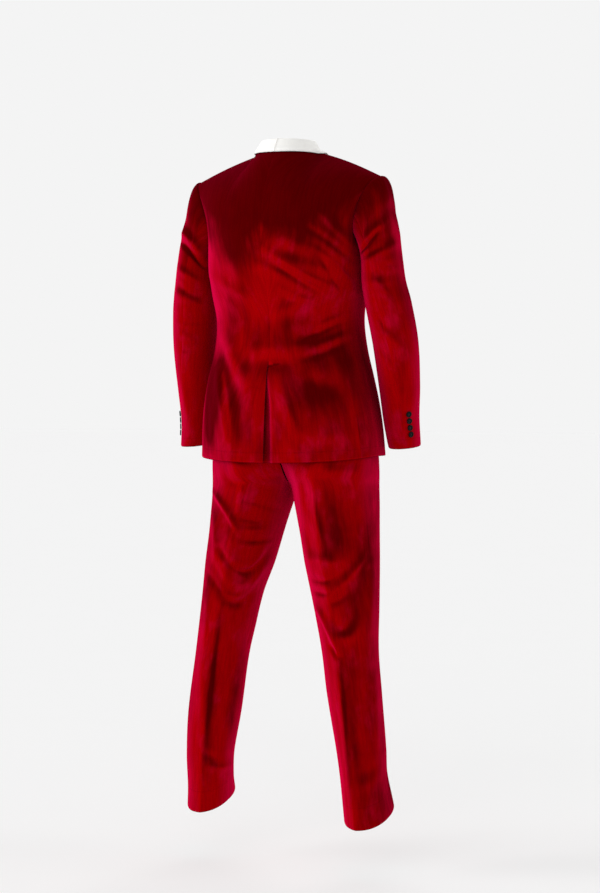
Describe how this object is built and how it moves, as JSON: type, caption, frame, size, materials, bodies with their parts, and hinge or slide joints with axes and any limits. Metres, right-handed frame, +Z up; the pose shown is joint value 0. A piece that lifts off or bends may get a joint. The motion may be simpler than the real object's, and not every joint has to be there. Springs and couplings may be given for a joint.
{
  "type": "christmas tuxedo",
  "caption": "Two-piece velvet evening suit in its worn, hollow shape: a jacket with a shawl collar, vented back and buttoned cuffs, and creased trousers.",
  "frame": {"origin": "middle of the neck hole at the height of the back neck seam, where the jacket hangs on the wearer's shoulders", "axes": "+Z up along the standing wearer, -Y the way the wearer faces, +X the wearer's left"},
  "size_m": [0.626, 0.311, 1.5395],
  "materials": {
    "velvet": "deep red velvet with a short pile",
    "collar_cloth": "off-white ribbed satin cloth",
    "button": "polished black"
  },
  "bodies": {
    "root": {"back_left": "velvet", "side_left": "velvet", "front_left": "velvet", "sleeve_top_left": "velvet", "sleeve_under_left": "velvet", "collar_left": "collar_cloth", "trouser_back_left": "velvet", "trouser_front_left": "velvet", "waistband_left": "velvet", "sleeve_button_left_1": "button", "sleeve_button_left_2": "button", "sleeve_button_left_3": "button", "sleeve_button_left_4": "button", "back_right": "velvet", "side_right": "velvet", "front_right": "velvet", "sleeve_top_right": "velvet", "sleeve_under_right": "velvet", "collar_right": "collar_cloth", "trouser_back_right": "velvet", "trouser_front_right": "velvet", "waistband_right": "velvet", "sleeve_button_right_1": "button", "sleeve_button_right_2": "button", "sleeve_button_right_3": "button", "sleeve_button_right_4": "button", "front_button": "button"}
  },
  "joints": []
}
